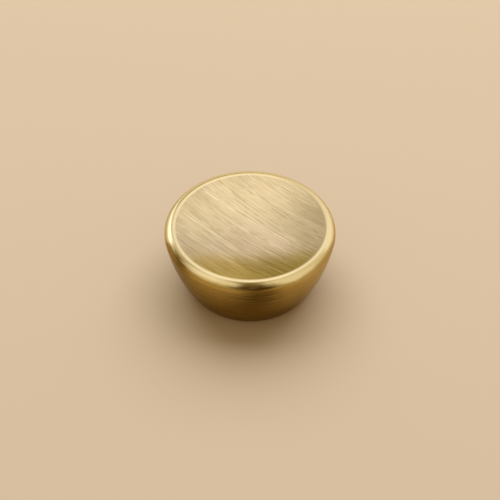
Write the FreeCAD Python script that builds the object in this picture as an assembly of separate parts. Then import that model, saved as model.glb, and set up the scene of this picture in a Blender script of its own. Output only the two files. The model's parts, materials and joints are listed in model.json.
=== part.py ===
# Cabinet knob turned from one piece of solid brass.
# A low flared cup: a flat round foot, a side that sweeps outwards in one long arc, a fully
# rounded rim, and a shallow dish sunk into the face inside a narrow crest.
# The underside has one tapped blind hole for the screw that comes through the door or drawer front.
# Millimetres. The origin is the centre of the foot, and +Z runs from the foot to the face.
import FreeCAD, Part
import math
import os

# Outer form
knob_diameter = 35.0
knob_height = 15.2
rim_round_radius = 1.8
side_arc_radius = 36.0
foot_diameter = 25.5
foot_round_radius = 0.4

# Dished face
dish_depth = 1.5
crest_round_radius = 2.5

# Tapped hole in the foot
thread_major_diameter = 4.0
thread_pitch = 0.7
mouth_margin = 0.3
mouth_cone_angle = 90.0
drill_point_angle = 118.0
metal_over_hole = 3.0


def half_angle_tangent(full_angle):
    """Tangent of half of a cone's full angle, given in degrees."""
    return math.tan(math.radians(full_angle / 2))


def point(radius, height):
    """A point of the half section, which lies in the XZ plane."""
    return FreeCAD.Vector(radius, 0, height)


def line(start, end):
    return Part.LineSegment(start, end).toShape()


def arc(centre, radius, start, end):
    """The shorter arc from start to end, both of which lie on the circle."""
    middle = (start + end) / 2 - centre
    middle.normalize()
    return Part.Arc(start, centre + middle * radius, end).toShape()


def far_point(centre, radius, through):
    """Where the ray from a circle's centre through another point crosses that circle.

    With the centre of a circle that touches it, this is the point that the two share."""
    direction = through - centre
    direction.normalize()
    return centre + direction * radius


def meeting_point(first, first_distance, second, second_distance):
    """The point at the given distances from two others, on the side towards the knob's axis."""
    apart = (second - first).Length
    along = (first_distance**2 - second_distance**2 + apart**2) / (2 * apart)
    aside = math.sqrt(first_distance**2 - along**2)
    direction = (second - first) / apart
    towards_axis = FreeCAD.Vector(-direction.z, 0, direction.x)
    return first + direction * along + towards_axis * aside


def face_edges(crest, crest_centre):
    """The dish from the axis outwards, then the crest's inner round up to its highest line."""
    centre_distance = (crest.x**2 + dish_depth**2) / (2 * dish_depth)
    dish_radius = centre_distance - crest_round_radius
    dish_bottom = point(0, knob_height - dish_depth)
    dish_centre = dish_bottom + FreeCAD.Vector(0, 0, dish_radius)
    dish_rim = far_point(dish_centre, dish_radius, crest_centre)
    return [
        arc(dish_centre, dish_radius, dish_bottom, dish_rim),
        arc(crest_centre, crest_round_radius, dish_rim, crest),
    ]


def outside_edges(crest, rim_centre):
    """The rim round, the long side arc and the foot's small round, down to the foot's flat."""
    side_reach = side_arc_radius - rim_round_radius
    foot_corner = point(foot_diameter / 2, 0)
    side_centre = meeting_point(foot_corner, side_arc_radius, rim_centre, side_reach)
    side_top = far_point(side_centre, side_arc_radius, rim_centre)
    foot_drop = side_centre.z - foot_round_radius
    foot_reach = side_arc_radius - foot_round_radius
    foot_centre_radius = side_centre.x + math.sqrt(foot_reach**2 - foot_drop**2)
    foot_centre = point(foot_centre_radius, foot_round_radius)
    side_bottom = far_point(side_centre, side_arc_radius, foot_centre)
    foot_edge = point(foot_centre_radius, 0)
    return [
        arc(rim_centre, rim_round_radius, crest, side_top),
        arc(side_centre, side_arc_radius, side_top, side_bottom),
        arc(foot_centre, foot_round_radius, side_bottom, foot_edge),
    ]


def hole_points():
    """The tapped hole from its mouth in the foot to the tip of its drill point, on the axis.

    The wall stands at the tapping drill's radius, which is the thread's inner radius."""
    drill_radius = (thread_major_diameter - thread_pitch) / 2
    mouth_radius = thread_major_diameter / 2 + mouth_margin
    mouth_depth = (mouth_radius - drill_radius) / half_angle_tangent(mouth_cone_angle)
    tip_height = knob_height - dish_depth - metal_over_hole
    wall_end = tip_height - drill_radius / half_angle_tangent(drill_point_angle)
    return [
        point(mouth_radius, 0),
        point(drill_radius, mouth_depth),
        point(drill_radius, wall_end),
        point(0, tip_height),
    ]


def half_section():
    """The closed outline on one side of the axis, as a face."""
    crest_radius = knob_diameter / 2 - rim_round_radius
    crest = point(crest_radius, knob_height)
    rim_centre = point(crest_radius, knob_height - rim_round_radius)
    crest_centre = point(crest_radius, knob_height - crest_round_radius)
    edges = face_edges(crest, crest_centre) + outside_edges(crest, rim_centre)
    dish_bottom = edges[0].Vertexes[0].Point
    foot_edge = edges[-1].Vertexes[-1].Point
    corners = [foot_edge] + hole_points() + [dish_bottom]
    edges += [line(start, end) for start, end in zip(corners, corners[1:])]
    return Part.Face(Part.Wire(Part.__sortEdges__(edges)))


def knob():
    """The whole knob as one solid of revolution."""
    return half_section().revolve(FreeCAD.Vector(0, 0, 0), FreeCAD.Vector(0, 0, 1), 360)


def main():
    os.makedirs("parts", exist_ok=True)
    shape = knob()
    shape.exportStep("parts/knob.step")
    box = shape.optimalBoundingBox()
    print(f"knob: valid {shape.isValid()}, solids {len(shape.Solids)}, volume {shape.Volume:.1f} mm3")
    print(f"box {box.XLength:.3f} x {box.YLength:.3f} x {box.ZLength:.3f} mm, from z {box.ZMin:.3f}")
    mouth, wall_start, wall_end, tip = hole_points()
    print(f"hole mouth radius {mouth.x:.3f}, tip at z {tip.z:.3f}")
    print(f"hole wall radius {wall_start.x:.3f}, from z {wall_start.z:.3f} to {wall_end.z:.3f}")


main()
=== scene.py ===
# A dished cabinet knob of solid brass, turned as one closed mesh with its tapped hole. The
# dish is brushed, the rim and side are turned and the foot is faced. It stands on a plain pale
# studio floor.
import json
import math
from typing import NamedTuple

import bmesh
import bpy
from bpy.props import FloatProperty, FloatVectorProperty, PointerProperty
from mathutils import Matrix, Vector


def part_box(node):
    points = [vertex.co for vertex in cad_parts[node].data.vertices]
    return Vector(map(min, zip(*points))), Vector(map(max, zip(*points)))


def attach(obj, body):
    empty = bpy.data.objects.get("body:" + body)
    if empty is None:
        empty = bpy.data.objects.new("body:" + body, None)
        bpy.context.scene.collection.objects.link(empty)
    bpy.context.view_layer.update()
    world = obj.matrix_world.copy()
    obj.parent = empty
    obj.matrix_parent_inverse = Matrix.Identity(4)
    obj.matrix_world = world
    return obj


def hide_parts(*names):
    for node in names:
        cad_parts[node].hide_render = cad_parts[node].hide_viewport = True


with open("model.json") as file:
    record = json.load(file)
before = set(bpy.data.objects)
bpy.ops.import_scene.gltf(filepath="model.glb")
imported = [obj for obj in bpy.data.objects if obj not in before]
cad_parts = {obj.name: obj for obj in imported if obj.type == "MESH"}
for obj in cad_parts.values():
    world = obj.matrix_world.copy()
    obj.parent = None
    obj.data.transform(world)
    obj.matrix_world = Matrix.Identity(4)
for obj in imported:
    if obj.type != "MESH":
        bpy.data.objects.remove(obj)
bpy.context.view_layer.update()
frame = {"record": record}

bl_info = {
    "name": "Turned Cabinet Knob",
    "version": (1, 0, 0),
    "blender": (4, 5, 0),
    "location": "3D View > Sidebar > Knob",
    "description": "Turns a dished brass cabinet knob and sets it on a studio floor",
    "category": "Object",
}

MM = 0.001
AXIS = Vector((0, 0, 1))
FULL_TURN = 2 * math.pi

# The solid that the knob's mesh stands for, the upper corner of its box, and its tapped hole
NODE = "knob"
NODE_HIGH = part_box(NODE)[1]
SCREW_HOLE = next(m for m in frame["record"]["mounts"] if m["name"] == "screw_hole")

# How finely the mesh is divided
SEGMENTS = 256
WEDGE_DOUBLINGS = 4
DISH_RINGS = 30
CREST_RINGS = 6
RIM_RINGS = 24
SIDE_RINGS = 24
FOOT_ROUND_RINGS = 6
THREAD_STEPS = 48
THREAD_CUTS = 3
MERGE_DISTANCE = 0.0005 * MM
SLIVER_LENGTH = 0.01 * MM
CREASE_ANGLE = math.radians(28)

# The angle between the thread's flanks, the share of its pitch that is flat at the root, and
# the angle of the drill's point
THREAD_ANGLE = math.radians(60)
FLAT_SHARE = 1 / 8
DRILL_POINT = math.radians(118)

# The finishes, in the order of the mesh's material slots
BRUSHED, TURNED, FOOT, TAPPED = range(4)

# The map that gives the direction of the tool marks
MARKS_MAP = "tool_marks"

# The turned metal's tint at glancing angles, and the normal of the slightly slanted plane in
# which the upper edge of its darker side lies, partly tarnish and partly painted shade
EDGE_TINT = (0.85, 0.80, 0.62)
TARNISH_AND_SHADE_NORMAL = (0.02, 0.018, 1.0)

# Width of the camera's film in millimetres, and how near and how far it sees in metres
FILM_WIDTH = 36
CLIP_START = 0.01
CLIP_END = 10


def length_property(name, description, default):
    return FloatProperty(
        name=name, description=description, default=default, min=0, subtype="DISTANCE", precision=5
    )


def colour_property(name, description, default):
    return FloatVectorProperty(
        name=name, description=description, default=default, min=0, max=1, size=3, subtype="COLOR"
    )


class KnobSizes(bpy.types.PropertyGroup):
    """Lengths of the knob and of its tapped hole"""

    knob_radius: length_property("Knob radius", "Half of the widest diameter", NODE_HIGH.x)
    knob_height: length_property("Height", "From the foot to the crest", NODE_HIGH.z)
    rim_round: length_property("Rim round", "Radius of the rim outside the crest", 1.8 * MM)
    side_arc: length_property("Side arc", "Radius of the long arc of the side", 36 * MM)
    foot_radius: length_property("Foot radius", "Where the side would meet the floor", 12.75 * MM)
    foot_round: length_property("Foot round", "Radius of the foot's edge", 0.4 * MM)
    dish_depth: length_property("Dish depth", "From the crest to the middle of the dish", 1.5 * MM)
    crest_round: length_property("Crest round", "Radius inside the crest", 2.5 * MM)
    bore_radius: length_property(
        "Bore radius", "Inner radius of the thread", SCREW_HOLE["dims"]["r_mm"] * MM
    )
    bore_length: length_property(
        "Bore length", "From the cone of the mouth to the drill point",
        SCREW_HOLE["dims"]["length_mm"] * MM,
    )
    thread_radius: length_property("Thread radius", "Outer radius of the thread", 2 * MM)
    thread_pitch: length_property("Thread pitch", "Rise of the thread in one turn", 0.7 * MM)
    mouth_radius: length_property("Mouth radius", "Radius of the cone at the foot", 2.3 * MM)
    run_out: length_property("Run-out", "Plain bore beyond the last full turn", 1.2 * MM)


class KnobFinish(bpy.types.PropertyGroup):
    """Colours and direction of the knob's finishes"""

    brushed_colour: colour_property(
        "Brushed brass", "Colour of the brushed dish", (0.78, 0.605, 0.35)
    )
    # Colour of the dish's tarnish, which also paints shade on the inner edge of the crest at the
    # right
    tarnish_and_lip_shade: colour_property(
        "Brushed shade", "Colour of the tarnished streaks in the dish", (0.45, 0.33, 0.16)
    )
    # Colour of the painted glints along the brush marks
    painted_glint_colour: colour_property(
        "Brushed glint", "Colour of the bright streaks in the dish", (0.92, 0.77, 0.52)
    )
    polished_colour: colour_property(
        "Polished brass", "Colour of the crest and rim", (0.86, 0.69, 0.38)
    )
    # The side's darker brass: partly patina, partly painted shade for the shadowed floor that it
    # mirrors
    side_colour: colour_property("Side brass", "Colour of the upper side", (0.52, 0.36, 0.10))
    # Dark brass at the foot of the side, partly age and partly painted shade; the foot's wear and
    # the thread's specks use it too
    aged_and_shaded_colour: colour_property("Aged brass", "Colour of the side at the foot", (0.34, 0.21, 0.05))
    # Colour of the painted dark reflection at the front and of the painted shade at its left
    painted_dark_colour: colour_property("Stain", "Colour of the stains at the front", (0.17, 0.10, 0.02))
    # Place and width of the painted dark reflection at the front
    painted_dark_place: length_property(
        "Stain place", "How far to the right of the front the wide stain lies", 1.5 * MM
    )
    painted_dark_width: length_property(
        "Stain width", "Width of the wide stain, streaks included", 13.5 * MM
    )
    # Where the darker side begins, partly patina and partly painted shade
    patina_and_shade_start: length_property(
        "Patina height", "Height below which the rim is as dark as the side", 13.7 * MM
    )
    brush_angle: FloatProperty(
        name="Brush direction", description="Direction of the brush marks in plan",
        default=math.radians(-42), subtype="ANGLE",
    )


class KnobStage(bpy.types.PropertyGroup):
    """Floor, light and camera"""

    floor_reach: length_property("Floor reach", "From the knob to each edge of the floor", 1.2)
    floor_colour: colour_property("Floor", "Colour of the floor", (0.70, 0.546, 0.366))
    room_colour: colour_property("Room light", "Even light on the floor", (0.40, 0.335, 0.225))
    key_colour: colour_property("Key lamp", "Tint of the lamp behind the knob", (0.80, 0.86, 1.0))
    key_radiance: FloatProperty(
        name="Key strength", description="Radiance of the lamp behind the knob", default=2.62, min=0
    )
    key_azimuth: FloatProperty(
        name="Key azimuth", description="Angle of the lamp to the right of straight behind",
        default=math.radians(7), subtype="ANGLE",
    )
    key_elevation: FloatProperty(
        name="Key elevation", description="Angle of the lamp above the floor",
        default=math.radians(55), subtype="ANGLE",
    )
    key_distance: length_property("Key distance", "From the knob to the lamp", 1.0)
    key_width: length_property("Key width", "Width of the lamp", 1.5)
    key_height: length_property("Key height", "Height of the lamp", 1.2)
    camera_distance: length_property(
        "Camera distance", "From the centre of the foot to the camera", 297.5 * MM
    )
    camera_elevation: FloatProperty(
        name="Camera elevation", description="Angle of the camera above the floor",
        default=math.radians(46.18), subtype="ANGLE",
    )
    camera_lens: FloatProperty(
        name="Camera lens", description=f"Focal length for a film {FILM_WIDTH} mm wide",
        default=101.2, min=1, unit="CAMERA",
    )
    aim_height: length_property(
        "Aim height", "Height of the point on the knob's axis that the camera looks at", 8.0 * MM
    )


# Geometry of the half section, in the XZ plane


def lean(direction):
    """Angle of a direction from +Z towards +X."""
    return math.atan2(direction.x, direction.z)


def meeting_point(first, first_distance, second, second_distance):
    """The point at the given distances from two others, on the side towards the axis."""
    apart = (second - first).length
    along = (first_distance**2 - second_distance**2 + apart**2) / (2 * apart)
    aside = math.sqrt(first_distance**2 - along**2)
    direction = (second - first) / apart
    towards_axis = Vector((-direction.z, 0, direction.x))
    return first + direction * along + towards_axis * aside


def outline_arcs(sizes):
    """The arcs from the middle of the dish to the foot: finish, centre, turn about +Y, rings."""
    crest_radius = sizes.knob_radius - sizes.rim_round
    rim_centre = Vector((crest_radius, 0, sizes.knob_height - sizes.rim_round))
    crest_centre = Vector((crest_radius, 0, sizes.knob_height - sizes.crest_round))
    dish_to_crest = (crest_radius**2 + sizes.dish_depth**2) / (2 * sizes.dish_depth)
    dish_centre = crest_centre.copy()
    dish_centre.x = 0
    dish_centre.z += math.sqrt(dish_to_crest**2 - crest_radius**2)
    dish_turn = math.asin(crest_radius / dish_to_crest)
    foot_corner = Vector((sizes.foot_radius, 0, 0))
    side_reach = sizes.side_arc - sizes.rim_round
    side_centre = meeting_point(foot_corner, sizes.side_arc, rim_centre, side_reach)
    foot_drop = side_centre.z - sizes.foot_round
    foot_reach = sizes.side_arc - sizes.foot_round
    foot_centre_radius = side_centre.x + math.sqrt(foot_reach**2 - foot_drop**2)
    foot_centre = Vector((foot_centre_radius, 0, sizes.foot_round))
    side_start = lean(rim_centre - side_centre)
    side_end = lean(foot_centre - side_centre)
    return [
        (BRUSHED, dish_centre, -dish_turn, DISH_RINGS),
        (TURNED, crest_centre, dish_turn, CREST_RINGS),
        (TURNED, rim_centre, side_start, RIM_RINGS),
        (TURNED, side_centre, side_end - side_start, SIDE_RINGS),
        (TURNED, foot_centre, math.pi - side_end, FOOT_ROUND_RINGS),
    ]


# Turning the mesh


def sweep(mesh, end, centre, turn, rings):
    """Sweeps the outline's end point round a centre. Returns the new end and the new edges."""
    before = set(mesh.edges)
    swept = bmesh.ops.spin(
        mesh, geom=[end], cent=centre, axis=(0, 1, 0), angle=turn, steps=rings
    )
    edges = [edge for edge in mesh.edges if edge not in before]
    end = next(part for part in swept["geom_last"] if isinstance(part, bmesh.types.BMVert))
    return end, edges


def draw(mesh, end, place):
    """Draws a straight stretch from the outline's end point. Returns the new end and edges."""
    drawn = bmesh.ops.extrude_vert_indiv(mesh, verts=[end])
    end = drawn["verts"][0]
    end.co = place
    return end, drawn["edges"]


def double(mesh, times, step):
    """Doubles the mesh so many times. The first copy is set off by one step, the next by two."""
    for _ in range(times):
        everything = mesh.verts[:] + mesh.edges[:] + mesh.faces[:]
        copied = bmesh.ops.duplicate(mesh, geom=everything)["geom"]
        corners = [part for part in copied if isinstance(part, bmesh.types.BMVert)]
        bmesh.ops.transform(mesh, matrix=step, verts=corners)
        step = step @ step
    bmesh.ops.remove_doubles(mesh, verts=mesh.verts[:], dist=MERGE_DISTANCE)


def turn_wedge(mesh, edges, finish):
    """Turns a stretch of the outline through one wedge, as faces of one finish."""
    before = set(mesh.faces)
    corners = list(dict.fromkeys(corner for edge in edges for corner in edge.verts))
    bmesh.ops.spin(
        mesh, geom=corners + edges, cent=(0, 0, 0), axis=AXIS,
        angle=FULL_TURN / 2**WEDGE_DOUBLINGS, steps=SEGMENTS // 2**WEDGE_DOUBLINGS,
    )
    for face in mesh.faces:
        if face not in before:
            face.material_index = finish


def turn_outside(mesh, sizes):
    """Turns the whole outside, from the middle of the dish to the ring round the hole's mouth."""
    end = mesh.verts.new((0, 0, sizes.knob_height - sizes.dish_depth))
    stretches = []
    for finish, centre, turn, rings in outline_arcs(sizes):
        end, edges = sweep(mesh, end, centre, turn, rings)
        stretches.append((finish, edges))
    collar_radius = sizes.mouth_radius + sizes.foot_round
    end, edges = draw(mesh, end, (collar_radius, 0, 0))
    stretches.append((FOOT, edges))
    for finish, edges in stretches:
        turn_wedge(mesh, edges, finish)
    double(mesh, WEDGE_DOUBLINGS, Matrix.Rotation(FULL_TURN / 2**WEDGE_DOUBLINGS, 4, AXIS))


def thread_outline(mesh, sizes):
    """One pitch of the thread's section, upwards from one pitch below the foot."""
    height = sizes.thread_radius - sizes.bore_radius
    flank_rise = height * math.tan(THREAD_ANGLE / 2)
    root_rise = sizes.thread_pitch * FLAT_SHARE
    crest_rise = sizes.thread_pitch - root_rise - 2 * flank_rise
    places = [
        (sizes.bore_radius, crest_rise),
        (sizes.thread_radius, crest_rise + flank_rise),
        (sizes.thread_radius, crest_rise + flank_rise + root_rise),
        (sizes.bore_radius, sizes.thread_pitch),
    ]
    end = mesh.verts.new((sizes.bore_radius, 0, -sizes.thread_pitch))
    for radius, rise in places:
        end, _ = draw(mesh, end, (radius, 0, rise - sizes.thread_pitch))
    bmesh.ops.subdivide_edges(mesh, edges=mesh.edges[:], cuts=THREAD_CUTS)


def trim(mesh, height, keep_above):
    """Cuts the thread off flat at a height."""
    bmesh.ops.bisect_plane(
        mesh, geom=mesh.verts[:] + mesh.edges[:] + mesh.faces[:],
        plane_co=(0, 0, height), plane_no=AXIS,
        clear_inner=keep_above, clear_outer=not keep_above,
    )


def ream(mesh, sizes):
    """Opens the thread to the mouth's cone, and lets it run out into the plain bore."""
    wall_end = sizes.mouth_radius - sizes.bore_radius + sizes.bore_length
    full_end = wall_end - 2 * sizes.run_out
    for corner in mesh.verts:
        radius = math.hypot(corner.co.x, corner.co.y)
        fade = min(max((corner.co.z - full_end) / sizes.run_out, 0), 1)
        reamed = radius + (sizes.bore_radius - radius) * fade
        reamed = max(reamed, sizes.mouth_radius - corner.co.z)
        corner.co.x *= reamed / radius
        corner.co.y *= reamed / radius


def tapped_hole(sizes):
    """The threaded wall and the drill point, open at the mouth, as a bmesh of its own."""
    mesh = bmesh.new()
    thread_outline(mesh, sizes)
    wall_end = sizes.mouth_radius - sizes.bore_radius + sizes.bore_length
    bmesh.ops.spin(
        mesh, geom=mesh.verts[:] + mesh.edges[:], cent=(0, 0, 0), axis=AXIS,
        angle=FULL_TURN, steps=THREAD_STEPS, dvec=(0, 0, sizes.thread_pitch / THREAD_STEPS),
    )
    turns = wall_end / sizes.thread_pitch + 1
    double(mesh, math.ceil(math.log2(turns)), Matrix.Translation((0, 0, sizes.thread_pitch)))
    trim(mesh, 0, keep_above=True)
    trim(mesh, wall_end, keep_above=False)
    bmesh.ops.remove_doubles(mesh, verts=mesh.verts[:], dist=SLIVER_LENGTH)
    ream(mesh, sizes)
    open_edges = [edge for edge in mesh.edges if edge.is_boundary]
    far_rim = [edge for edge in open_edges if edge.verts[0].co.z > wall_end / 2]
    drilled = bmesh.ops.extrude_edge_only(mesh, edges=far_rim)
    tip = [part for part in drilled["geom"] if isinstance(part, bmesh.types.BMVert)]
    tip_rise = sizes.bore_radius / math.tan(DRILL_POINT / 2)
    bmesh.ops.pointmerge(mesh, verts=tip, merge_co=(0, 0, wall_end + tip_rise))
    return mesh


def add_faces(mesh, other, finish):
    """Adds another bmesh's faces to this one, in one finish."""
    carrier = bpy.data.meshes.new("carrier")
    other.to_mesh(carrier)
    other.free()
    before = set(mesh.faces)
    mesh.from_mesh(carrier)
    bpy.data.meshes.remove(carrier)
    for face in mesh.faces:
        if face not in before:
            face.material_index = finish


def map_tool_marks(mesh, sizes, brush_angle):
    """Lays a map over each finish whose first axis runs across its tool marks."""
    layer = mesh.loops.layers.uv.new(MARKS_MAP)
    across_marks = Matrix.Rotation(-brush_angle - math.pi / 2, 2)
    for face in mesh.faces:
        middle = face.calc_center_median()
        middle_angle = math.atan2(middle.y, middle.x)
        for loop in face.loops:
            place = loop.vert.co
            if face.material_index == BRUSHED:
                loop[layer].uv = across_marks @ place.xy
                continue
            radius = place.xy.length
            angle = middle_angle
            if radius > MERGE_DISTANCE:
                step = math.atan2(place.y, place.x) - middle_angle
                angle += (step + math.pi) % FULL_TURN - math.pi
            run = radius if face.material_index == FOOT else radius - place.z
            loop[layer].uv = (run, angle * sizes.knob_radius)


def shade(mesh):
    """Smooth faces, with a crease wherever two of them meet at more than the crease angle."""
    for face in mesh.faces:
        face.smooth = True
    for edge in mesh.edges:
        edge.smooth = edge.calc_face_angle(math.pi) < CREASE_ANGLE


def knob_mesh(sizes, brush_angle):
    """The knob as one closed mesh."""
    mesh = bmesh.new()
    turn_outside(mesh, sizes)
    add_faces(mesh, tapped_hole(sizes), TAPPED)
    open_edges = [edge for edge in mesh.edges if edge.is_boundary]
    bridge = bmesh.ops.bridge_loops(mesh, edges=open_edges)
    for face in bridge["faces"]:
        face.material_index = FOOT
    bmesh.ops.recalc_face_normals(mesh, faces=mesh.faces[:])
    if not all(edge.is_manifold for edge in mesh.edges):
        raise RuntimeError("the knob's mesh isn't closed")
    shade(mesh)
    map_tool_marks(mesh, sizes, brush_angle)
    data = bpy.data.meshes.new("turned_knob")
    mesh.to_mesh(data)
    mesh.free()
    return data


# Finishes


class Nodes:
    """A node tree under construction."""

    def __init__(self, owner):
        owner.use_nodes = True
        self.tree = owner.node_tree

    def add(self, kind, feeds=None, **settings):
        node = self.tree.nodes.new(kind)
        for name, value in settings.items():
            setattr(node, name, value)
        for name, value in (feeds or {}).items():
            self.feed(node.inputs[name], value)
        return node

    def feed(self, socket, value):
        """Links a socket to another node's output, or sets it to a plain value."""
        if isinstance(value, bpy.types.NodeSocket):
            self.tree.links.new(value, socket)
        elif socket.type == "RGBA":
            socket.default_value = (*value, 1)
        else:
            socket.default_value = value

    def maths(self, operation, *values):
        node = self.add("ShaderNodeMath", operation=operation)
        for socket, value in zip(node.inputs, values):
            self.feed(socket, value)
        return node.outputs["Value"]

    def total(self, first, *others):
        for other in others:
            first = self.maths("ADD", first, other)
        return first

    def product(self, first, *others):
        for other in others:
            first = self.maths("MULTIPLY", first, other)
        return first

    def clamped(self, value):
        return self.maths("MINIMUM", self.maths("MAXIMUM", value, 0.0), 1.0)

    def ramp(self, value, low, high, to_low=0.0, to_high=1.0):
        """Carries a value smoothly from one range to another, and never past its ends."""
        feeds = {
            "Value": value, "From Min": low, "From Max": high, "To Min": to_low, "To Max": to_high,
        }
        node = self.add("ShaderNodeMapRange", feeds, interpolation_type="SMOOTHSTEP")
        return node.outputs["Result"]

    def spread(self, noise, low, high, span=0.15):
        """Carries a noise, which mostly lies within a span from 0.5, to another range."""
        return self.ramp(noise, 0.5 - span, 0.5 + span, low, high)

    def mix(self, factor, first, second):
        feeds = {"Factor": factor, "A": first, "B": second}
        return self.add("ShaderNodeMix", feeds, data_type="RGBA").outputs["Result"]

    def parts(self, vector):
        return self.add("ShaderNodeSeparateXYZ", {"Vector": vector}).outputs

    def vector(self, x=0.0, y=0.0, z=0.0):
        return self.add("ShaderNodeCombineXYZ", {"X": x, "Y": y, "Z": z}).outputs["Vector"]

    def length(self, vector):
        node = self.add("ShaderNodeVectorMath", {"Vector": vector}, operation="LENGTH")
        return node.outputs["Value"]

    def noise(self, vector, per_metre, shift=0.0, detail=3.0):
        """A noise that changes so often per metre along each axis. The shift keeps it apart
        from the other noises."""
        scaled = self.add("ShaderNodeVectorMath", operation="MULTIPLY_ADD")
        self.feed(scaled.inputs[0], vector)
        scaled.inputs[1].default_value = per_metre
        scaled.inputs[2].default_value = (shift, shift, shift)
        feeds = {"Vector": scaled.outputs["Vector"], "Scale": 1.0, "Detail": detail}
        return self.add("ShaderNodeTexNoise", feeds).outputs["Fac"]


class Finish(Nodes):
    """A metal finish under construction."""

    def __init__(self, name):
        self.material = bpy.data.materials.new(name)
        super().__init__(self.material)
        self.metal = self.tree.nodes["Principled BSDF"]
        self.give("Metallic", 1.0)
        self.place = self.add("ShaderNodeTexCoord").outputs["Object"]

    def give(self, name, value):
        self.feed(self.metal.inputs[name], value)

    def place_along(self, direction):
        """The place on the knob, turned in plan so that its first axis has this direction."""
        feeds = {"Vector": self.place, "Rotation": (0, 0, -direction)}
        return self.add("ShaderNodeMapping", feeds).outputs["Vector"]

    def stretch_glints(self, anisotropy):
        """Stretches the highlights across the tool marks, along the first axis of their map."""
        self.give("Anisotropic", anisotropy)
        across = self.add("ShaderNodeTangent", direction_type="UV_MAP", uv_map=MARKS_MAP)
        self.give("Tangent", across.outputs["Tangent"])

    def engrave(self, height, depth):
        """Presses a pattern into the surface, to a depth in metres."""
        bump = self.add("ShaderNodeBump", {"Height": height, "Distance": depth, "Strength": 1.0})
        self.give("Normal", bump.outputs["Normal"])


def brush_marks(made, direction, spacing, length, shift):
    """Straight marks side by side, as a noise about 0.5. They come in patches of the given
    length that are a few marks wide, and fade out between them."""
    place = made.place_along(direction)
    lines = made.noise(place, (15, 1 / spacing, 0), shift, detail=1.0)
    patches = made.noise(place, (1 / length, 0.3 / spacing, 0), shift + 7, detail=1.0)
    depth = made.product(made.maths("SUBTRACT", lines, 0.5), made.ramp(patches, 0.35, 0.6))
    return made.total(depth, 0.5)


def brushed_finish(colours):
    """Straight brush marks, tarnished where they are deep, with dark ones and painted bright glints
    that veer a little to either side, and faint clouds."""
    made = Finish("brushed_brass")
    made.stretch_glints(0.4)
    angle = colours.brush_angle
    veer = math.radians(3)
    fine = brush_marks(made, angle, spacing=0.14 * MM, length=2 * MM, shift=0.0)
    broad = brush_marks(made, angle, spacing=0.6 * MM, length=4 * MM, shift=3.3)
    dark = brush_marks(made, angle - veer, spacing=0.16 * MM, length=3 * MM, shift=17.7)
    bright = brush_marks(made, angle + veer, spacing=0.14 * MM, length=3 * MM, shift=31.3)
    clouds = made.noise(made.place_along(angle - 3 * veer), (70, 170, 0), 3.1, detail=1.0)
    grain = made.total(made.product(fine, 0.7), made.product(broad, 0.3))
    tarnish_in_grain = made.ramp(grain, 0.38, 0.6, 0.45, 0.0)
    tarnish_in_clouds = made.ramp(clouds, 0.42, 0.68, 0.0, 0.25)
    tarnish_in_dark = made.ramp(dark, 0.54, 0.66, 0.0, 0.65)
    tarnish_and_shade = made.clamped(made.total(tarnish_in_grain, tarnish_in_clouds, tarnish_in_dark))
    # Painted glints along some of the brush marks
    glint = made.ramp(bright, 0.54, 0.66, 0.0, 0.65)
    colour = made.mix(tarnish_and_shade, colours.brushed_colour, colours.tarnish_and_lip_shade)
    made.give("Base Color", made.mix(glint, colour, colours.painted_glint_colour))
    made.give("Roughness", made.spread(broad, 0.12, 0.16))
    made.engrave(grain, depth=0.005 * MM)
    return made.material


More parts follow.
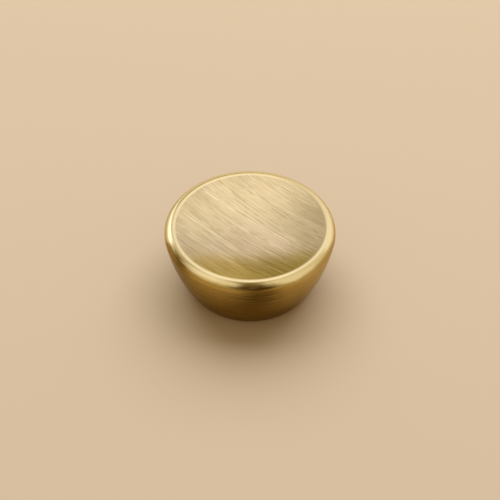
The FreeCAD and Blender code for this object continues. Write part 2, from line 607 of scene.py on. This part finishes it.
class TurnedFinish(Finish):
    """The finish of the crest, rim and side, with the places and patterns that it follows."""

    def __init__(self, colours):
        super().__init__("turned_brass")
        self.give("Specular Tint", EDGE_TINT)
        self.colours = colours
        place = self.parts(self.place)
        self.rightwards = place["X"]
        self.height = place["Z"]
        self.radius = self.length(self.vector(place["X"], place["Y"]))
        # From -1 at the left of the knob to 1 at its right
        self.side = self.maths("DIVIDE", place["X"], self.radius)
        # 1 at the front of the knob, and 0 at its middle and behind
        self.front = self.ramp(place["Y"], -6 * MM, -3 * MM, 1.0, 0.0)
        self.streaks = self.noise(self.place, (130, 130, 2600))
        self.blotches = self.noise(self.place, (160, 160, 260), 11.1)

    def level(self):
        """The height along the normal of the darker side's upper edge, blotched. It is shifted so
        that this darkening, partly tarnish and partly painted shade, reaches higher at the right of
        the knob, and less high at its left end."""
        slant = self.add("ShaderNodeVectorMath", {"Vector": self.place}, operation="DOT_PRODUCT")
        slant.inputs[1].default_value = TARNISH_AND_SHADE_NORMAL
        return self.total(
            slant.outputs["Value"],
            self.spread(self.blotches, -0.25 * MM, 0.25 * MM, span=0.2),
            self.ramp(self.side, 0.5, 0.85, 0.0, -0.45 * MM),
            self.ramp(self.side, -0.99, -0.94, 0.4 * MM, 0.0),
        )

    def below(self, level, top, fade):
        """1 below the top, and 0 where the level is more than the fade above it."""
        return self.ramp(level, top, top + fade, 1.0, 0.0)

    def tarnish_and_shade(self, level):
        """The dull brass under the rim, partly tarnish and partly painted shade that stands for the
        shadowed floor which the side mirrors. It is thinner at the right of the knob.
        """
        under_rim = self.below(level, self.colours.patina_and_shade_start, fade=0.9 * MM)
        return self.product(under_rim, self.ramp(self.side, 0.35, 0.85, 1.0, 0.72))

    def age_and_shade(self):
        """Dark brass towards the foot, at the left, and under the rim at the right: partly age and
        partly painted shade for the knob's shadow on the floor, which the side mirrors.
        """
        right_rim = self.product(
            self.ramp(self.side, 0.66, 0.84), self.ramp(self.height, 9 * MM, 13 * MM), 0.5
        )
        return self.clamped(self.total(
            self.ramp(self.height, 0.0, 13 * MM, 1.0, 0.0),
            self.ramp(self.side, -0.95, -0.4, 0.8, 0.0),
            right_rim,
            self.spread(self.streaks, -0.2, 0.2),
            self.spread(self.blotches, -0.12, 0.12),
        ))

    def front_painted_reflection(self):
        """A painted dark reflection at the front, with streaked edges, strongest under the rim."""
        off = self.maths("SUBTRACT", self.rightwards, self.colours.painted_dark_place)
        off = self.maths("ABSOLUTE", off)
        off = self.total(off, self.spread(self.streaks, -1.5 * MM, 1.5 * MM, span=0.2))
        return self.product(
            self.ramp(off, 0.5 * MM, self.colours.painted_dark_width / 2, 1.0, 0.0),
            self.front,
            self.ramp(self.height, 4 * MM, 12.5 * MM, 0.05, 1.0),
        )

    def left_painted_shade(self):
        """Fainter painted shade under the rim, at the left of the front."""
        side = self.total(self.side, self.spread(self.streaks, -0.05, 0.05, span=0.2))
        return self.product(
            self.ramp(side, -0.95, -0.84),
            self.ramp(side, -0.82, -0.64, 0.8, 0.0),
            self.front,
            self.ramp(self.height, 5 * MM, 13 * MM),
        )

    def shaded_lip(self):
        """The darker inner edge of the crest at the right of the knob, painted shade in the colour
        of the dish's tarnish.
        """
        return self.product(
            self.ramp(self.radius, 15.5 * MM, 15.8 * MM, 0.75, 0.0),
            self.ramp(self.rightwards, 4 * MM, 14 * MM),
        )


def turned_finish(colours):
    """Turned brass that is bright on the crest and darker under the rim and towards the foot,
    partly tarnish and age and partly painted shade, with streaks round the knob and a painted dark
    reflection and painted shade at its front."""
    made = TurnedFinish(colours)
    level = made.level()
    tarnish_and_shade = made.tarnish_and_shade(level)
    # Painted dark reflection at the front, and painted shade at the left of the front
    painted_dark = made.maths("MAXIMUM", made.front_painted_reflection(), made.product(made.left_painted_shade(), tarnish_and_shade))
    painted_dark_top = colours.patina_and_shade_start + 0.4 * MM
    painted_dark = made.product(painted_dark, made.below(level, painted_dark_top, fade=0.7 * MM))
    # Painted shade on the inner edge of the crest at the right
    colour = made.mix(made.shaded_lip(), colours.polished_colour, colours.tarnish_and_lip_shade)
    # The darker side under the rim: partly tarnish, partly painted shade
    colour = made.mix(tarnish_and_shade, colour, colours.side_colour)
    # Darker towards the foot, at the left and under the rim at the right: partly age, partly
    # painted shade
    colour = made.mix(made.product(made.age_and_shade(), tarnish_and_shade), colour, colours.aged_and_shaded_colour)
    # Darkest where the painted reflection and shade lie
    made.give("Base Color", made.mix(painted_dark, colour, colours.painted_dark_colour))
    polish = made.spread(made.streaks, 0.13, 0.19)
    made.give("Roughness", made.total(polish, made.product(tarnish_and_shade, 0.09)))
    made.engrave(made.streaks, depth=0.003 * MM)
    return made.material


def foot_finish(colours):
    """Rings left by the facing tool on the flat foot, and aged blotches."""
    made = Finish("turned_foot")
    made.stretch_glints(0.5)
    rings = made.noise(made.vector(z=made.length(made.place)), (0, 0, 4200))
    blotches = made.noise(made.place, (190, 190, 190), 23.9)
    wear = made.total(made.spread(rings, 0.0, 0.45), made.ramp(blotches, 0.4, 0.7, 0.0, 0.4))
    made.give("Base Color", made.mix(wear, colours.polished_colour, colours.aged_and_shaded_colour))
    made.give("Roughness", 0.3)
    made.engrave(rings, depth=0.01 * MM)
    return made.material


def tapped_finish(colours):
    """The bright cut of the tap, with dark specks of old cutting oil."""
    made = Finish("cut_thread")
    specks = made.ramp(made.noise(made.place, (1100, 1100, 1100)), 0.45, 0.7, 0.0, 0.6)
    made.give("Base Color", made.mix(specks, colours.polished_colour, colours.aged_and_shaded_colour))
    made.give("Roughness", 0.22)
    return made.material


# Stage


def lay_floor(stage):
    """A wide, flat and dull floor, which belongs to the stage and not to the knob."""
    mesh = bmesh.new()
    bmesh.ops.create_grid(mesh, x_segments=1, y_segments=1, size=stage.floor_reach)
    data = bpy.data.meshes.new("floor")
    mesh.to_mesh(data)
    mesh.free()
    material = bpy.data.materials.new("pale_floor")
    material.use_nodes = True
    surface = material.node_tree.nodes["Principled BSDF"]
    surface.inputs["Base Color"].default_value = (*stage.floor_colour, 1)
    surface.inputs["Roughness"].default_value = 0.9
    surface.inputs["Specular IOR Level"].default_value = 0.1
    data.materials.append(material)
    floor = bpy.data.objects.new("floor", data)
    bpy.context.scene.collection.objects.link(floor)


def towards(azimuth, elevation):
    """A direction from the knob. Azimuth 0 is straight behind it, and a quarter turn is to
    its right."""
    return Vector((
        math.sin(azimuth) * math.cos(elevation),
        math.cos(azimuth) * math.cos(elevation),
        math.sin(elevation),
    ))


class SoftPanel(NamedTuple):
    """A soft panel of the studio, by its angles in degrees as seen from the knob.

    It lies so far over the top, from 0 at the horizon behind the knob to 180 in front, and so
    far aside, to the right. It fades out over its softness at every edge."""

    over: float
    aside: float
    half_height: float
    half_width: float
    softness: float
    radiance: tuple


# The studio that the metal mirrors. Each panel is laid over those before it.
STUDIO_WALLS = (0.92, 0.90, 0.84)
STUDIO_PANELS = [
    # The ends of the room at the left and the right, the front and the horizon behind
    SoftPanel(90, -82, 100, 22, 16, (0.50, 0.42, 0.28)),
    SoftPanel(90, 84, 100, 20, 16, (0.66, 0.60, 0.44)),
    SoftPanel(165, 0, 18, 70, 22, (0.66, 0.58, 0.40)),
    SoftPanel(6, 0, 12, 60, 6, (0.90, 0.85, 0.76)),
    # Windows behind at the left and the right, which both ends of the rim mirror
    SoftPanel(33, -37, 14, 17, 9, (1.45, 1.55, 1.80)),
    SoftPanel(37, 33, 17, 18, 9, (1.02, 1.01, 1.00)),
    # High lights behind, for the far half of the dish
    SoftPanel(58, 1, 20, 13, 12, (1.01, 1.01, 1.01)),
    SoftPanel(66, 2, 17, 9, 12, (1.20, 1.20, 1.21)),
    # Lower ones, for its near half and its right end
    SoftPanel(36, 0, 4, 15, 3, (0.80, 0.78, 0.80)),
    SoftPanel(38, 0, 8, 4.5, 5, (1.02, 0.99, 1.08)),
    SoftPanel(40, -15, 11, 6, 6, (0.72, 0.69, 0.66)),
    # The dark crescent at its near edge
    SoftPanel(27, -6, 6.7, 14, 3, (0.64, 0.55, 0.24)),
    SoftPanel(27, -9, 6.5, 9, 6, (0.38, 0.32, 0.09)),
    # Dark and dull ones overhead, for the rim at the left and the right of its front
    SoftPanel(60, -82, 45, 14, 12, (0.26, 0.18, 0.06)),
    SoftPanel(65, -56, 13, 20, 14, (0.22, 0.15, 0.05)),
    SoftPanel(61, -26, 10, 11, 8, (0.54, 0.48, 0.33)),
    SoftPanel(90, -50, 12, 12, 12, (0.52, 0.45, 0.28)),
    SoftPanel(74, 54, 16, 16, 12, (0.70, 0.60, 0.34)),
    # The pale band round the front of the rim
    SoftPanel(120, 6, 38, 60, 24, (0.86, 0.80, 0.64)),
    SoftPanel(110, -30, 22, 12, 12, (1.04, 0.99, 0.92)),
    SoftPanel(72, 28, 13, 18, 10, (0.76, 0.71, 0.56)),
    SoftPanel(79, 0, 13, 10, 4, (0.80, 0.76, 0.64)),
    # The dark patch in the middle of that band, from overhead down to the front
    SoftPanel(90, 0, 14, 7, 7, (0.22, 0.16, 0.05)),
    SoftPanel(110, 1, 10, 8, 8, (0.17, 0.12, 0.035)),
    SoftPanel(124, 2, 13, 10.5, 9, (0.15, 0.10, 0.025)),
    SoftPanel(144, 2, 15, 13, 11, (0.13, 0.08, 0.02)),
    SoftPanel(166, 2, 18, 24, 14, (0.30, 0.22, 0.11)),
]


def within(sky, angle, middle, half, softness):
    """1 where an angle lies round a middle and 0 outside. All but the angle are in degrees."""
    off = sky.maths("ABSOLUTE", sky.maths("SUBTRACT", angle, math.radians(middle)))
    full = math.radians(half - softness / 2)
    gone = math.radians(half + softness / 2)
    return sky.ramp(off, full, gone, 1.0, 0.0)


def paint_studio(sky):
    """The colour of the studio in each direction."""
    direction = sky.parts(sky.add("ShaderNodeTexCoord").outputs["Generated"])
    over = sky.maths("ARCTAN2", direction["Z"], direction["Y"])
    aside = sky.maths("ARCSINE", direction["X"])
    radiance = STUDIO_WALLS
    for panel in STUDIO_PANELS:
        inside = sky.product(
            within(sky, over, panel.over, panel.half_height, panel.softness),
            within(sky, aside, panel.aside, panel.half_width, panel.softness),
        )
        radiance = sky.mix(inside, radiance, panel.radiance)
    return radiance


def light_stage(stage):
    """Even light on the floor, and the studio where the camera or the metal looks past it."""
    world = bpy.data.worlds.new("studio")
    bpy.context.scene.world = world
    sky = Nodes(world)
    ray = sky.add("ShaderNodeLightPath").outputs
    looked_at = sky.maths("MAXIMUM", ray["Is Camera Ray"], ray["Is Glossy Ray"])
    looked_at = sky.maths("MAXIMUM", looked_at, ray["Is Transmission Ray"])
    colour = sky.mix(looked_at, stage.room_colour, paint_studio(sky))
    sky.feed(sky.tree.nodes["Background"].inputs["Color"], colour)


def hang_key_lamp(stage):
    """The soft lamp behind the knob that casts its shadow. The metal doesn't mirror it."""
    lamp = bpy.data.lights.new("key", "AREA")
    lamp.shape = "RECTANGLE"
    lamp.size = stage.key_width
    lamp.size_y = stage.key_height
    lamp.color = stage.key_colour
    lamp.energy = stage.key_radiance * math.pi * stage.key_width * stage.key_height
    key = bpy.data.objects.new("key", lamp)
    bpy.context.scene.collection.objects.link(key)
    direction = towards(stage.key_azimuth, stage.key_elevation)
    key.location = direction * stage.key_distance
    key.rotation_euler = (-direction).to_track_quat("-Z", "Y").to_euler()
    key.visible_glossy = False


def place_camera(stage):
    """The camera in front of the knob, which looks at a point on the knob's axis."""
    place = towards(math.pi, stage.camera_elevation) * stage.camera_distance
    lens = bpy.data.cameras.new("camera")
    lens.sensor_width = FILM_WIDTH
    lens.lens = stage.camera_lens
    lens.clip_start = CLIP_START
    lens.clip_end = CLIP_END
    camera = bpy.data.objects.new("camera", lens)
    bpy.context.scene.collection.objects.link(camera)
    camera.location = place
    aim = Vector((0, 0, stage.aim_height))
    camera.rotation_euler = (aim - place).to_track_quat("-Z", "Y").to_euler()
    bpy.context.scene.camera = camera


# Operators and panel


class KNOB_OT_turn(bpy.types.Operator):
    """Turn the brass knob with its tapped hole and give it its finishes"""

    bl_idname = "knob.turn"
    bl_label = "Turn the Knob"
    bl_options = {"REGISTER", "UNDO"}

    def execute(self, context):
        scene = context.scene
        data = knob_mesh(scene.knob_sizes, scene.knob_finish.brush_angle)
        for make in (brushed_finish, turned_finish, foot_finish, tapped_finish):
            data.materials.append(make(scene.knob_finish))
        knob = bpy.data.objects.new("turned_knob", data)
        scene.collection.objects.link(knob)
        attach(knob, "root")
        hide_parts(NODE)
        return {"FINISHED"}


class KNOB_OT_stage(bpy.types.Operator):
    """Lay the pale floor, light the studio, hang the soft lamp and place the camera"""

    bl_idname = "knob.stage"
    bl_label = "Set the Stage"
    bl_options = {"REGISTER", "UNDO"}

    def execute(self, context):
        scene = context.scene
        lay_floor(scene.knob_stage)
        light_stage(scene.knob_stage)
        hang_key_lamp(scene.knob_stage)
        place_camera(scene.knob_stage)
        scene.view_settings.view_transform = "Standard"
        return {"FINISHED"}


class KNOB_PT_panel(bpy.types.Panel):
    """Sizes, finishes and stage of the knob"""

    bl_label = "Cabinet Knob"
    bl_idname = "KNOB_PT_panel"
    bl_space_type = "VIEW_3D"
    bl_region_type = "UI"
    bl_category = "Knob"

    def draw(self, context):
        layout = self.layout
        scene = context.scene
        for group, operator in (
            (scene.knob_sizes, None),
            (scene.knob_finish, KNOB_OT_turn.bl_idname),
            (scene.knob_stage, KNOB_OT_stage.bl_idname),
        ):
            column = layout.column(align=True)
            for name in group.__annotations__:
                column.prop(group, name)
            if operator:
                layout.operator(operator)


CLASSES = (KnobSizes, KnobFinish, KnobStage, KNOB_OT_turn, KNOB_OT_stage, KNOB_PT_panel)


def register():
    for cls in CLASSES:
        bpy.utils.register_class(cls)
    bpy.types.Scene.knob_sizes = PointerProperty(type=KnobSizes)
    bpy.types.Scene.knob_finish = PointerProperty(type=KnobFinish)
    bpy.types.Scene.knob_stage = PointerProperty(type=KnobStage)


def unregister():
    del bpy.types.Scene.knob_stage
    del bpy.types.Scene.knob_finish
    del bpy.types.Scene.knob_sizes
    for cls in reversed(CLASSES):
        bpy.utils.unregister_class(cls)


def main():
    register()
    bpy.ops.knob.turn()
    bpy.ops.knob.stage()


if __name__ == "__main__":
    main()
